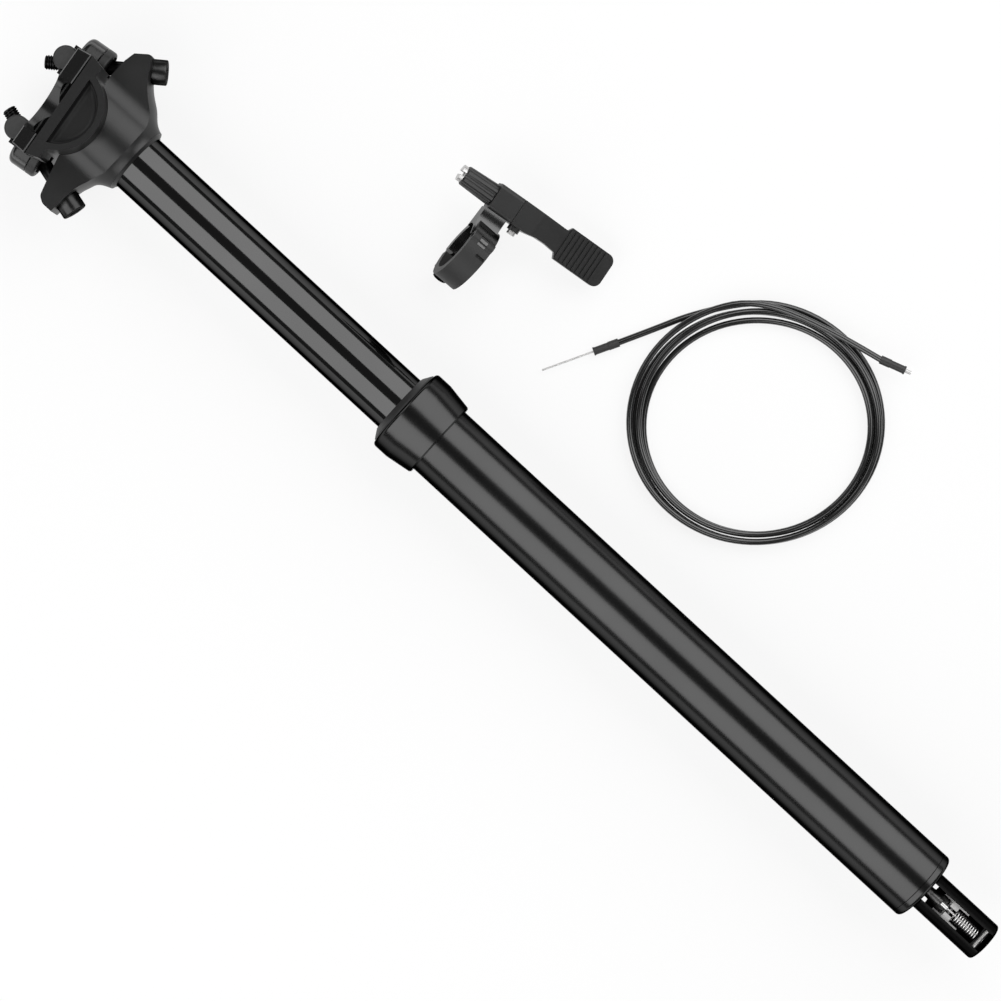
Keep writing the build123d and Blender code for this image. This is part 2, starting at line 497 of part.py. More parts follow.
body = (arm_ring - (relief - middle)) + arm + arm_side + (knuckle & middle) - bore_cut
body -= pin(knuckle_in, (1, 0, 0), 2 * ring_w, remote_pin_d + 2 * run_gap)
body -= Plane(origin=screw_mid, z_dir=tangent_in).location * Cylinder(screw_d / 2 + screw_room, 2 * boss_long)
jaw = (jaw_ring - (relief & wide)) + jaw_side + (knuckle - wide) - bore_cut
jaw -= pin(knuckle_in, (1, 0, 0), 2 * ring_w, remote_pin_d)
jaw -= Plane(origin=screw_mid, z_dir=tangent_in).location * Cylinder(screw_d / 2, 4 * boss_long)
screw_low = screw_mid - tangent_in * (boss_long + screw_d / 2)
head_room = screw_mid - tangent_in * (boss_long + screw_d)
jaw -= Plane(origin=head_room, z_dir=tangent_in).location * Cylinder(screw_head_d / 2 + play, 2 * screw_d)
jaw -= ring_plane.location * Rot(Z=notch_at) * Pos(ring_r, 0, notch_x) * Box(2 * notch_deep, notch_w, notch_long)
remote_parts["remote_bracket"] = remote.location * ring_frame * body
remote_parts["remote_jaw"] = remote.location * ring_frame * jaw
remote_parts["jaw_pin"] = remote.location * ring_frame * pin(knuckle_in, (1, 0, 0), ring_w, remote_pin_d)
screw = Plane(origin=screw_mid, z_dir=tangent_in).location * Cylinder(screw_d / 2, 2 * boss_long)
screw += Plane(origin=screw_low, z_dir=tangent_in).location * Cylinder(screw_head_d / 2, screw_d)
remote_parts["jaw_screw"] = remote.location * ring_frame * screw

pod = block(pod_x0, pod_x1, -pod_half, pod_half, pod_low, pod_high)
pod = fillet(pod.edges().filter_by(Axis.X), pod_round)
axle = (0, 0, axle_z)
tongue = block(pod_x1 - pod_round, 0, -tongue_half, tongue_half, axle_z - tongue_r + edge, axle_z + tongue_r)
tongue += pin(axle, (0, 1, 0), 2 * tongue_half, 2 * tongue_r)
pod += tongue
pod -= bar(pod_x0 - over, pod_x0 + barrel_in + over, barrel_screw_d + 2 * run_gap)
pod -= bar(pod_x0, pod_x1, barrel_bore)
pod -= pin(axle, (0, 1, 0), 4 * pod_half, axle_d + 2 * run_gap)
remote_parts["remote_pod"] = remote.location * pod
remote_parts["lever_axle"] = remote.location * pin(axle, (0, 1, 0), 2 * hub_half, axle_d)

lever_x0 = pod_x1 + 3 * play
plan_points = [(lever_x0, -hub_half), (tongue_r, -hub_half), (hub_half, (arm_y0 - hub_half) / 2),
               (hub_half * 1.5, arm_y0), (hub_half * 2.3, arm_y0), (pad_x0 - edge, (arm_y0 - hub_half) / 2),
               (pad_x0 + edge, -pad_half), (pad_x1, -pad_half), (pad_x1, pad_half), (pad_x0 + edge, pad_half),
               (pad_x0 - edge, arm_y1), (lever_x0, hub_half)]
plan_body = slab(plan_points, lever_floor - pad_half, lever_roof + pad_half)
corner = plan_body.edges().filter_by(Axis.Z).sort_by(Axis.X)[-2:]
plan_body = fillet(corner, pad_round)
pad_top = pad_level + pad_thick / 2
pad_low = pad_level - pad_thick / 2
side_points = [(lever_x0, heel_z), (heel_x, lever_floor), (tongue_r, lever_floor), (hub_half * 2, pad_low - pad_thick / 2),
               (pad_x0, pad_low), (pad_x1, pad_low - pad_thick), (pad_x1, pad_top - pad_thick),
               (pad_x0, pad_top), (hub_half, lever_roof), (lever_x0, lever_roof)]
side_body = Plane.XZ * make_face(Polyline(*side_points, close=True))
thumb = plan_body & (Pos(0, pad_half + over, 0) * extrude(side_body, 2 * (pad_half + over)))
thumb -= block(lever_x0 - over, tongue_r + anchor_x + anchor_d / 2, -tongue_half - play, tongue_half + play,
               lever_floor - over, anchor_z + anchor_d / 2 + play)
pad_drop = math.degrees(math.atan(pad_thick / (pad_x1 - pad_x0)))
rib_pitch = (pad_x1 - pad_x0 - pad_round) / rib_count
for i in range(rib_count):
    rib_x = (i + 1) * rib_pitch - rib_pitch * rib_share
    rib = Pos(rib_x, 0, rib_h / 2) * Box(rib_pitch * rib_share, 2 * (pad_half - edge), rib_h)
    thumb += Pos(pad_x0, 0, pad_top - edge / 4) * Rot(Y=pad_drop) * rib
lug_y = -hub_half - lug_out
thumb += pin((anchor_x, (lug_y - tongue_half - play) / 2, anchor_z), (0, 1, 0), hub_half + lug_out - tongue_half - play,
             2 * lug_r)
thumb -= pin(axle, (0, 1, 0), 4 * pad_half, axle_d)
thumb -= pin((anchor_x, -pad_half, anchor_z), (0, 1, 0), 2 * pad_half, anchor_d)
remote_parts["thumb_lever"] = remote.location * thumb
anchor = pin((anchor_x, (lug_y + over) / 2, anchor_z), (0, 1, 0), over - lug_y, anchor_d)
anchor += pin((anchor_x, lug_y - anchor_head_h / 2, anchor_z), (0, 1, 0), anchor_head_h, anchor_head_d)
anchor &= Pos(anchor_x, 0, anchor_z) * Box(2 * lug_r, 4 * pad_half, 2 * lug_r)
remote_parts["anchor_screw"] = remote.location * anchor

sleeve = turned([(sleeve_x0, barrel_screw_d / 2 + play), (sleeve_x0, sleeve_d0 / 2 - edge),
                 (sleeve_x0 + edge, sleeve_d0 / 2), (sleeve_x1, sleeve_d1 / 2),
                 (sleeve_x1, barrel_screw_d / 2 + play)])
flute = Pos(0, 0, sleeve_d0 / 2 + flute_r - flute_deep) * bar(sleeve_x0 - over, sleeve_x1 + over, 2 * flute_r)
sleeve -= [Rot(X=360 * i / flute_count) * flute for i in range(flute_count)]
remote_parts["adjuster_sleeve"] = remote.location * sleeve
tip = bar(sleeve_x0 - barrel_tip_len - play, sleeve_x0 - play, barrel_tip_d)
tip += bar(sleeve_x0 - play, pod_x0 + barrel_in - over, barrel_screw_d)
tip -= bar(sleeve_x0 - 2 * barrel_tip_len, pod_x0 + barrel_in, barrel_bore)
tip -= block(sleeve_x0 - 2 * barrel_tip_len, sleeve_x0 - play, -barrel_slot / 2, barrel_slot / 2,
             -barrel_tip_d, barrel_tip_d)
remote_parts["adjuster_screw"] = remote.location * tip

remote_low = min(shape.bounding_box().min.Z for shape in remote_parts.values())
remote_lift = table_z - remote_low
for name, shape in remote_parts.items():
    save(name, Pos(0, 0, remote_lift) * shape)
print(f"remote origin height {remote_lift:.3f}")

# ---- Control cable
cable = Plane(origin=(*cable_at, table_z + cord_d / 2), x_dir=(*cable_turn, 0), z_dir=(0, 0, 1))


def ease(t):
    t = min(max(t, 0.0), 1.0)
    return t * t * (3 - 2 * t)


def lay(t):
    """Place on the coil after t turns: in for half of them, then out one layer higher."""
    inward = min(t, turns - t)
    radius = coil_x - turn_pitch * inward
    drift = fan * math.sin(math.pi * t / turns) ** 2
    half = climb_share / 2
    level = ease((t - turns / 2 + half) / climb_share) + ease((t - turns + half) / climb_share)
    a = math.pi / 2 - 2 * math.pi * t
    return Vector(radius * math.cos(a) + drift, radius * coil_squash * math.sin(a) - drift, layer_pitch * level)


count = turns * steps_per_turn
lay_points = [lay(i / steps_per_turn) for i in range(count + 1)]
lay_dirs = [lay(i / steps_per_turn + probe) - lay(i / steps_per_turn - probe) for i in range(count + 1)]
lay_dirs[0] = Vector(1, 0.0, 0)
lay_dirs[-1] = Vector(1, -0.08, 0.05)
coil, coil_length = wound(lay_points, lay_dirs, cord_d)
save("cable_coil", cable.location * coil)

cap_rise = (ferrule_d - cord_d) / 2
a_points = [Vector(*p, cap_rise) for p in tail_a] + [lay_points[0]]
a_dirs = [Vector(*p, 0) for p in tail_a_dir] + [lay_dirs[0]]
tail, tail_length = wound(a_points, a_dirs, cord_d)
save("cable_tail_a", cable.location * tail)
top_level = 2 * layer_pitch
b_points = [lay_points[-1]] + [Vector(*p, top_level) for p in tail_b]
b_dirs = [lay_dirs[-1]] + [Vector(*p, 0) for p in tail_b_dir]
tail2, tail2_length = wound(b_points, b_dirs, cord_d)
save("cable_tail_b", cable.location * tail2)


def ferrule(point, out):
    """Stepped end cap on the cord's end, and the plane at its outer end."""
    place = Plane(origin=point, z_dir=out)
    cap = Pos(0, 0, ferrule_len / 2) * Cylinder(ferrule_d / 2 - ferrule_wall / 2, ferrule_len)
    cap += Pos(0, 0, ferrule_len - ferrule_lip / 2) * Cylinder(ferrule_d / 2, ferrule_lip)
    cap += Pos(0, 0, ferrule_len / 5) * Cylinder(ferrule_d / 2, ferrule_len / 2.5)
    cap -= Pos(0, 0, ferrule_len) * Cylinder(inner_d / 2, ferrule_len)
    return place.location * cap, place.offset(ferrule_len)


cap_a, end_a = ferrule(a_points[0], a_dirs[0] * -1)
cap_b, end_b = ferrule(b_points[-1], b_dirs[-1])
save("ferrule_a", cable.location * cap_a)
save("ferrule_b", cable.location * cap_b)
inner_start = end_a.offset(-ferrule_len / 4)
reach = (Vector(*wire_far, cap_rise) - end_a.origin).length
inner = inner_start.location * Pos(0, 0, (reach + ferrule_len / 4) / 2) * Cylinder(
    inner_d / 2, reach + ferrule_len / 4)
save("inner_wire", cable.location * inner)
stub = end_b.location * Pos(0, 0, -ferrule_len / 8) * Cylinder(inner_d / 2, ferrule_len / 4)
stub += end_b.location * Pos(0, 0, tip_len / 2) * Cylinder(tip_d / 2, tip_len)
save("wire_stub", cable.location * stub)

dense = [lay(i / 96) for i in range(turns * 96 + 1)]
gap = min((dense[i] - dense[j]).length for i in range(len(dense)) for j in range(i + 48, len(dense))) - cord_d
print(f"coil length {coil_length:.1f}, least gap to itself {gap:.2f}, tails {tail_length:.1f} {tail2_length:.1f}")
for name, tube, length in (("coil", coil, coil_length), ("tail a", tail, tail_length), ("tail b", tail2, tail2_length)):
    print(f"{name}: tube volume over section times length {tube.volume / (math.pi * cord_d ** 2 / 4 * length):.4f}")
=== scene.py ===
"""Looks of a dropper seatpost with its thumb remote and coiled control cable, laid on a table."""

import json
import math

import bmesh
import bpy
from mathutils import Matrix, Vector


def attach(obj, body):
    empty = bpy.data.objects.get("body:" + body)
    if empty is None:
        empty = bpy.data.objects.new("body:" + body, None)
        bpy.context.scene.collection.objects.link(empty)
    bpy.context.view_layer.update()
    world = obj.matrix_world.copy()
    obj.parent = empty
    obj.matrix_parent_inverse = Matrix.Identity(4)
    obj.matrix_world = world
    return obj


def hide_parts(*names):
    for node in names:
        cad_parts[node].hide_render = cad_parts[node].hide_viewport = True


MM = 0.001

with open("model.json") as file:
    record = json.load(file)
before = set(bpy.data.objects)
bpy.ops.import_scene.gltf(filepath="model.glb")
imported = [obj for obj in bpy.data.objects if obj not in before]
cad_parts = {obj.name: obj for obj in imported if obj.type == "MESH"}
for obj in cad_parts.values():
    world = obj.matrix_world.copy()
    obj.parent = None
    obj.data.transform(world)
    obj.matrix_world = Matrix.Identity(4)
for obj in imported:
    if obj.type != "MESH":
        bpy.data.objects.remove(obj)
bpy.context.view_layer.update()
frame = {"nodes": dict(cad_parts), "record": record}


def local_frame(origin, x_axis, z_axis):
    """Matrix of a piece's own frame, from an origin in millimetres and two directions."""
    z = Vector(z_axis).normalized()
    x = Vector(x_axis)
    x = (x - z * x.dot(z)).normalized()
    y = z.cross(x)
    place = Matrix((x, y, z)).transposed().to_4x4()
    place.translation = Vector(origin) * MM
    return place


# ---- Camera at the photograph's angle: straight down, with the saddle head to the lower left
PHOTO_RIGHT = Vector((-0.7353, -0.6778, 0))
LENS_HEIGHT, VIEW_SPAN = 1.370, 0.4038
camera_data = bpy.data.cameras.new("photo_camera")
camera_data.sensor_width = 36
camera_data.lens = camera_data.sensor_width * LENS_HEIGHT / VIEW_SPAN
camera = bpy.data.objects.new("photo_camera", camera_data)
camera.matrix_world = local_frame((115.0, 1.1, LENS_HEIGHT / MM), PHOTO_RIGHT, (0, 0, 1))
bpy.context.collection.objects.link(camera)
bpy.context.scene.camera = camera
bpy.context.scene.view_settings.view_transform = "Standard"


# ---- Shader arithmetic
class Field:
    """A shader value that takes part in Python arithmetic by adding Math nodes."""

    def __init__(self, finish, socket):
        self.finish, self.socket = finish, socket

    def math(self, operation, *values):
        return self.finish.node("Math", {"operation": operation}, *values)

    def __add__(self, other):
        return self.math("ADD", self, other)

    def __sub__(self, other):
        return self.math("SUBTRACT", self, other)

    def __mul__(self, other):
        return self.math("MULTIPLY", self, other)

    def __rsub__(self, other):
        return self.math("SUBTRACT", other, self)

    __radd__, __rmul__ = __add__, __mul__


class Finish:
    """A procedural material, built node by node."""

    def __init__(self, name):
        self.material = bpy.data.materials.new(name)
        self.material.use_nodes = True
        self.tree = self.material.node_tree
        self.tree.nodes.clear()
        self.output = self.tree.nodes.new("ShaderNodeOutputMaterial")

    def node(self, kind, settings=None, *values, out=0, **named):
        """Add a node: its settings, then the values or links of its sockets.

        Return one of its outputs.
        """
        made = self.tree.nodes.new("ShaderNode" + kind)
        stops = (settings or {}).pop("stops", None)
        for key, value in (settings or {}).items():
            setattr(made, key, value)
        if stops:
            ramp = made.color_ramp
            while len(ramp.elements) < len(stops):
                ramp.elements.new(0.5)
            for element, (place, shade) in zip(ramp.elements, stops):
                element.position = place
                element.color = (shade, shade, shade, 1)
        pairs = list(zip(made.inputs, values))
        pairs += [(made.inputs[key], value) for key, value in named.items()]
        for socket, value in pairs:
            self.feed(socket, value)
        return Field(self, made.outputs[out])

    def feed(self, socket, value):
        if isinstance(value, Field):
            self.tree.links.new(value.socket, socket)
        elif value is not None:
            socket.default_value = value

    def place(self, scale):
        """Point on the object in its own frame, stretched by a scale for each axis."""
        coordinates = self.node("TexCoord", out=3)
        return self.node("Mapping", {}, coordinates, Scale=scale)

    def noise(self, size, detail, scale=(1, 1, 1)):
        """Soft noise between 0 and 1 with grains of about a size in metres."""
        return self.node("TexNoise", {}, self.place(scale), Scale=1 / size, Detail=detail, Roughness=0.5)

    def ramp(self, value, *stops):
        return self.node("ValToRGB", {"stops": stops}, value)

    def levelness(self):
        """How level the surface is: 0 on an upright wall and 1 on a flat top or bottom."""
        upward = self.node("SeparateXYZ", {}, self.node("TexCoord", out=1), out=2)
        return upward.math("ABSOLUTE", upward)

    def colour(self, mask, low, high):
        """Colour from low to high along a mask."""
        mix = self.tree.nodes.new("ShaderNodeMix")
        mix.data_type = "RGBA"
        self.feed(mix.inputs[0], mask)
        mix.inputs[6].default_value = (*low, 1)
        mix.inputs[7].default_value = (*high, 1)
        return Field(self, mix.outputs[2])

    def bump(self, height, depth):
        """Relief of a height field, this many metres deep."""
        return self.node("Bump", {}, Strength=1.0, Distance=depth, Height=height)

    def surface(self, **sockets):
        """Material of one shader with these sockets, an underscore standing for a space."""
        shader = self.tree.nodes.new("ShaderNodeBsdfPrincipled")
        for key, value in sockets.items():
            self.feed(shader.inputs[key.replace("_", " ")], value)
        self.tree.links.new(shader.outputs[0], self.output.inputs[0])
        return self.material


def tint(shade):
    """Reflection at the rim of a curved surface, as a share of that in its middle."""
    return (shade, shade, shade, 1)


def grey(shade, warm=0.0):
    return (shade * (1 + warm), shade, shade * (1 - warm))


# ---- Finishes
def gloss_anodised():
    """Hard-anodised tube, polished along its length, with faint wipe marks from the seal."""
    f = Finish("gloss_black")
    drawn = f.noise(0.0006, 3, (0.02, 1, 1))
    haze = f.noise(0.03, 2)
    return f.surface(
        Base_Color=f.colour(haze, grey(0.06), grey(0.072)), Metallic=1.0, Specular_Tint=tint(0.1),
        Roughness=0.05 + haze * 0.04 + drawn * 0.05, Normal=f.bump(drawn, 0.000004))


def satin_anodised():
    """Turned and anodised tube, with a fine grain round it."""
    f = Finish("satin_black")
    turned = f.noise(0.00035, 2, (1, 0.05, 0.05))
    grain = f.noise(0.00022, 2)
    cloud = f.noise(0.035, 3)
    return f.surface(
        Base_Color=f.colour(cloud, grey(0.046), grey(0.058)), Metallic=1.0, Specular_Tint=tint(0.1),
        Roughness=0.17 + cloud * 0.06 + turned * 0.03, Normal=f.bump(turned * 0.3 + grain * 0.7, 0.000004))


def blasted_forging(name, shade, gloss, rim):
    """Forged and bead-blasted aluminium, anodised black."""
    f = Finish(name)
    beads = f.noise(0.00028, 3)
    dents = f.noise(0.0016, 2)
    cloud = f.noise(0.02, 3)
    return f.surface(
        Base_Color=f.colour(cloud, grey(shade * 0.88), grey(shade * 1.14)), Metallic=1.0,
        Specular_Tint=tint(rim), Roughness=gloss + cloud * 0.1 + beads * 0.05,
        Normal=f.bump(beads * 0.7 + dents * 0.3, 0.00002))


def highlit_edge_forging(name, shade, gloss, highlight_shade):
    """Blasted forging with a painted highlight: its sloping edge facets, picked by how steeply they face up
    or down, are coloured lighter, towards the highlight shade.
    """
    f = Finish(name)
    beads = f.noise(0.0003, 3)
    cloud = f.noise(0.012, 3)
    # Painted highlight on facets of a middling slope, of random strength, and a little glossier there
    edge_highlight_mask = f.ramp(f.levelness(), (0.6, 0.0), (0.68, 1.0), (0.74, 1.0), (0.82, 0.0))
    edge_highlight_mask = edge_highlight_mask * (0.6 + cloud * 0.4)
    return f.surface(
        Base_Color=f.colour(edge_highlight_mask, grey(shade), grey(highlight_shade)), IOR=1.45,
        Roughness=gloss + cloud * 0.08 + beads * 0.05 - edge_highlight_mask * 0.08, Normal=f.bump(beads, 0.00001))


def nut_steel():
    """Black oxide of the barrel nuts, duller on their sawn ends."""
    f = Finish("nut_black")
    sawn = f.noise(0.0004, 2, (1, 0.2, 1))
    return f.surface(
        Base_Color=f.colour(sawn, grey(0.07), grey(0.1)), Metallic=1.0, Specular_Tint=tint(0.3),
        Roughness=0.44 + sawn * 0.08, Normal=f.bump(sawn, 0.000005))


def black_steel():
    """Black-plated steel of bolts and washers, rubbed a little lighter in patches."""
    f = Finish("black_steel")
    rub = f.ramp(f.noise(0.004, 4), (0.45, 0.0), (0.75, 1.0))
    turned = f.noise(0.0003, 2)
    return f.surface(
        Base_Color=f.colour(rub, grey(0.04), grey(0.075)), Metallic=1.0, Specular_Tint=tint(0.2),
        Roughness=0.26 + rub * 0.1 + turned * 0.06, Normal=f.bump(turned, 0.000008))


def bright_steel(name, shade, gloss):
    """Bright steel with fine machining marks and a few darker touches."""
    f = Finish(name)
    marks = f.noise(0.00025, 3)
    touch = f.noise(0.003, 3)
    return f.surface(
        Base_Color=f.colour(touch, grey(shade * 0.82, 0.01), grey(shade, 0.005)), Metallic=1.0,
        Roughness=gloss + marks * 0.12, Normal=f.bump(marks, 0.00001))


def machined_aluminium():
    """Turned aluminium of the cartridge."""
    f = Finish("inner_aluminium")
    turned = f.noise(0.0003, 2, (1, 0.05, 0.05))
    return f.surface(
        Base_Color=f.colour(turned, grey(0.5), grey(0.62)), Metallic=1.0,
        Roughness=0.28 + turned * 0.12, Normal=f.bump(turned, 0.00001))


def hard_chrome():
    """Chromed piston rod."""
    f = Finish("rod_chrome")
    haze = f.noise(0.01, 2)
    drawn = f.noise(0.0004, 2, (0.05, 1, 1))
    return f.surface(
        Base_Color=f.colour(haze, grey(0.7), grey(0.78)), Metallic=1.0,
        Roughness=0.05 + haze * 0.05, Normal=f.bump(drawn, 0.000003))


def bearing_polymer():
    """Dark plastic of the two bushings."""
    f = Finish("bushing_polymer")
    grain = f.noise(0.0003, 2)
    return f.surface(Base_Color=f.colour(grain, grey(0.03), grey(0.05)), Roughness=0.45 + grain * 0.1,
                     Normal=f.bump(grain, 0.00001))


def key_brass():
    """Brass of the three keys."""
    f = Finish("key_brass")
    marks = f.noise(0.0004, 2, (0.1, 1, 1))
    return f.surface(Base_Color=f.colour(marks, (0.55, 0.38, 0.14), (0.7, 0.5, 0.2)), Metallic=1.0,
                     Roughness=0.25 + marks * 0.15, Normal=f.bump(marks, 0.00001))


def seal_rubber():
    """Soft black rubber of the wiper."""
    f = Finish("seal_rubber")
    grain = f.noise(0.0004, 3)
    return f.surface(Base_Color=f.colour(grain, grey(0.012), grey(0.02)), Roughness=0.5 + grain * 0.15,
                     Normal=f.bump(grain, 0.00002))


def moulded_nylon(name, shade, gloss):
    """Moulded nylon with a fine sparked grain."""
    f = Finish(name)
    grain = f.noise(0.00032, 3)
    flow = f.noise(0.012, 2)
    return f.surface(
        Base_Color=f.colour(flow, grey(shade * 0.85), grey(shade * 1.2)),
        Roughness=gloss + flow * 0.08 + grain * 0.08, Normal=f.bump(grain, 0.00002))


def cable_housing():
    """Smooth housing with the faint lengthwise lay of the wires under it."""
    f = Finish("cable_black")
    lay = f.noise(0.0008, 2)
    scuff = f.noise(0.01, 3)
    return f.surface(
        Base_Color=f.colour(scuff, grey(0.007), grey(0.011)), IOR=1.7,
        Roughness=0.11 + scuff * 0.06, Normal=f.bump(lay, 0.000004))


FINISHES = {
    "gloss_black": gloss_anodised(),
    "satin_black": satin_anodised(),
    "forged_black": blasted_forging("forged_black", 0.05, 0.31, 0.8),
    "black_steel": black_steel(),
    "bright_steel": bright_steel("bright_steel", 0.6, 0.36),
    "strand_steel": bright_steel("strand_steel", 0.8, 0.3),
    "inner_aluminium": machined_aluminium(),
    "rod_chrome": hard_chrome(),
    "bushing_polymer": bearing_polymer(),
    "key_brass": key_brass(),
    "seal_rubber": seal_rubber(),
    "bracket_black": blasted_forging("bracket_black", 0.085, 0.16, 0.6),
    "remote_plastic": moulded_nylon("remote_plastic", 0.007, 0.42),
    "sleeve_plastic": moulded_nylon("sleeve_plastic", 0.012, 0.34),
    "cable_black": cable_housing(),
    "ferrule_black": moulded_nylon("ferrule_black", 0.02, 0.4),
}

# Nodes whose finish departs from that of their material slot
OWN_FINISH = {"foot_fork": blasted_forging("foot_black", 0.009, 0.24, 0.3),
              "foot_cap": blasted_forging("foot_cap_black", 0.009, 0.24, 0.3),
              "nut_rear": nut_steel(), "nut_front": nut_steel(),
              "valve_plunger": bright_steel("plunger_dark", 0.16, 0.3),
              "actuator_lever": bright_steel("lever_steel", 0.8, 0.4),
              "cable_barrel": bright_steel("barrel_steel", 0.86, 0.3),
              "return_spring": bright_steel("spring_steel", 0.86, 0.24),
              "remote_jaw": moulded_nylon("jaw_black", 0.014, 0.5),
              "thumb_lever": moulded_nylon("lever_black", 0.009, 0.26),
              # Both clamp halves carry a painted highlight on their sloping edge facets
              "upper_clamp": highlit_edge_forging("upper_clamp_black", 0.006, 0.17, 0.13),
              "lower_clamp": highlit_edge_forging("lower_clamp_black", 0.006, 0.36, 0.03)}

for part in frame["record"]["subparts"]:
    node = frame["nodes"][part["node"]]
    node.data.materials.clear()
    node.data.materials.append(OWN_FINISH.get(part["node"], FINISHES[part["material_slot"]]))


# ---- Pieces made here
SHARP_FROM = 38


def add_piece(name, mesh, slot, body, *nodes):
    """A mesh piece in the row frame that rides on a body and stands for CAD nodes."""
    piece = bpy.data.objects.new(name, mesh)
    bpy.context.collection.objects.link(piece)
    piece.data.materials.append(FINISHES[slot])
    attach(piece, body)
    if nodes:
        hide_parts(*nodes)
    return piece


def ringed_mesh(name, place, rings, around=48):
    """Closed mesh of rings round a place's own z.

    Each ring is a height and a radius, or a height and a function that gives the radius for an angle.
    """
    shape = bmesh.new()
    loops = []
    for height, radius in rings:
        loop = []
        for i in range(around):
            a = 2 * math.pi * i / around
            r = radius(a) if callable(radius) else radius
            loop.append(shape.verts.new(place @ (Vector((r * math.cos(a), r * math.sin(a), height)) * MM)))
        loops.append(loop)
    for low, high in zip(loops, loops[1:]):
        for i in range(around):
            j = (i + 1) % around
            shape.faces.new((low[i], low[j], high[j], high[i]))
    shape.faces.new(loops[0])
    shape.faces.new(loops[-1])
    bmesh.ops.recalc_face_normals(shape, faces=shape.faces)
    for face in shape.faces:
        face.smooth = True
    mesh = bpy.data.meshes.new(name)
    shape.to_mesh(mesh)
    shape.free()
    mesh.set_sharp_from_angle(angle=math.radians(SHARP_FROM))
    return mesh


# ---- Clamp bolts: socket heads with rounded rims, and rolled threads down from the tips
BOLT_HEAD_D, BOLT_HEAD_H, BOLT_D, BOLT_LEN, HEX_W, HEX_DEEP = 10.4, 7.0, 6.0, 42.5, 5.0, 3.5
RIM_ROUND, UNDER_EDGE, NECK, SOCKET_EDGE = 0.6, 0.5, 0.4, 0.3
PITCH, THREAD_LEN, ROOT_R, CREST_R, RINGS_PER_TURN = 1.0, 21.0, 2.42, 2.97, 9
CREST_FLAT = 1.25       # a ridge rises as if to this many times its height, and is cut off flat


def hexagon(width):
    """Radius of a hexagonal wall for every angle."""
    sixth = math.pi / 3
    return lambda a: width / 2 / math.cos((a + sixth / 2) % sixth - sixth / 2)


def thread_ring(height, start, tip):
    """Radius of the thread for every angle at one height.

    The thread fades in at its start and is trimmed back at the tip.
    """
    fade = min(1.0, (height - start) / PITCH)
    most = ROOT_R + tip - height

    def radius(a):
        turn = (height / PITCH - a / (2 * math.pi)) % 1
        ridge = min(1.0, CREST_FLAT * (1 - abs(2 * turn - 1)))
        return min(CREST_R - fade * (1 - ridge) * (CREST_R - ROOT_R), most)
    return radius


def clamp_bolt(name, head_middle, nut_middle):
    """Socket-head bolt from the middle of its head through the middle of its nut."""
    head_r, under, tip = BOLT_HEAD_D / 2, BOLT_HEAD_H / 2, BOLT_HEAD_H / 2 + BOLT_LEN
    place = local_frame(head_middle, (0, 0, 1), Vector(nut_middle) - Vector(head_middle))
    socket = hexagon(HEX_W)
    rings = [(HEX_DEEP - under, socket), (SOCKET_EDGE - under, socket),
             (-under, hexagon(HEX_W + 2 * SOCKET_EDGE))]
    for turn in (90, 70, 50, 30, 10):
        a = math.radians(turn)
        rings.append((RIM_ROUND - under - RIM_ROUND * math.sin(a),
                      head_r - RIM_ROUND + RIM_ROUND * math.cos(a)))
    rings += [(under - UNDER_EDGE, head_r), (under, head_r - UNDER_EDGE),
              (under, BOLT_D / 2 + SOCKET_EDGE), (under + NECK, BOLT_D / 2)]
    start = tip - THREAD_LEN
    steps = int(THREAD_LEN / PITCH * RINGS_PER_TURN)
    rings.append((start, BOLT_D / 2))
    for i in range(1, steps + 1):
        height = start + THREAD_LEN * i / steps
        rings.append((height, thread_ring(height, start, tip)))
    mesh = ringed_mesh(name + "_threaded", place, rings)
    add_piece(name + "_threaded", mesh, "black_steel", "stanchion", name)


clamp_bolt("bolt_rear", (323.304, 31.084, 0), (356.720, 22.368, 0))
clamp_bolt("bolt_front", (333.384, -32.490, 0), (361.249, -11.127, 0))


# ---- Stranded wires
STRANDS, LAY_LEN, GROOVE, WIRE_STEP, WIRE_AROUND = 7, 5.0, 0.26, 0.2, 42


def stranded(length, radius):
    """Rings of a wire of twisted strands."""
    def wire(height):
        twist = 2 * math.pi * height / LAY_LEN
        return lambda a: radius * (1 - GROOVE + GROOVE * abs(math.cos(STRANDS / 2 * (a - twist))))

    steps = int(length / WIRE_STEP)
    return [(length * i / steps, wire(length * i / steps)) for i in range(steps + 1)]


FOOT_WIRE_R, WIRE_LEN, NIPPLE_R, NIPPLE_LEN, NIPPLE_EDGE = 0.45, 17.75, 1.1, 3.5, 0.2
wire_rings = stranded(WIRE_LEN, FOOT_WIRE_R)
nipple_end = WIRE_LEN + NIPPLE_LEN
wire_rings += [(WIRE_LEN, NIPPLE_R - NIPPLE_EDGE), (WIRE_LEN + NIPPLE_EDGE, NIPPLE_R),
               (nipple_end - NIPPLE_EDGE, NIPPLE_R), (nipple_end, NIPPLE_R - NIPPLE_EDGE)]
foot_place = local_frame((-146.0, 0, 4.7), (0, 0, 1), (1, 0, 0))
add_piece("foot_wire", ringed_mesh("foot_wire", foot_place, wire_rings, WIRE_AROUND),
          "strand_steel", "pull", "pull_wire")


# ---- Control cable: one spline from ferrule to ferrule
CORD_D, CORD_LENGTH, FERRULE_D, TABLE_Z = 2.6, 1.343, 3.6, -26.5
TURNS, COIL_X, SQUASH, TURN_PITCH, LAYER_PITCH, FAN = 4, 53.9, 0.945, 3.7, 3.1, 0.5
CLIMB = 0.5             # turns that a step to the next layer takes
cable_place = local_frame((59.2, -92.9, TABLE_Z + CORD_D / 2), PHOTO_RIGHT, (0, 0, 1))


def ease(t):
    """Soft step from 0 to 1."""
    t = min(max(t, 0.0), 1.0)
    return t * t * (3 - 2 * t)


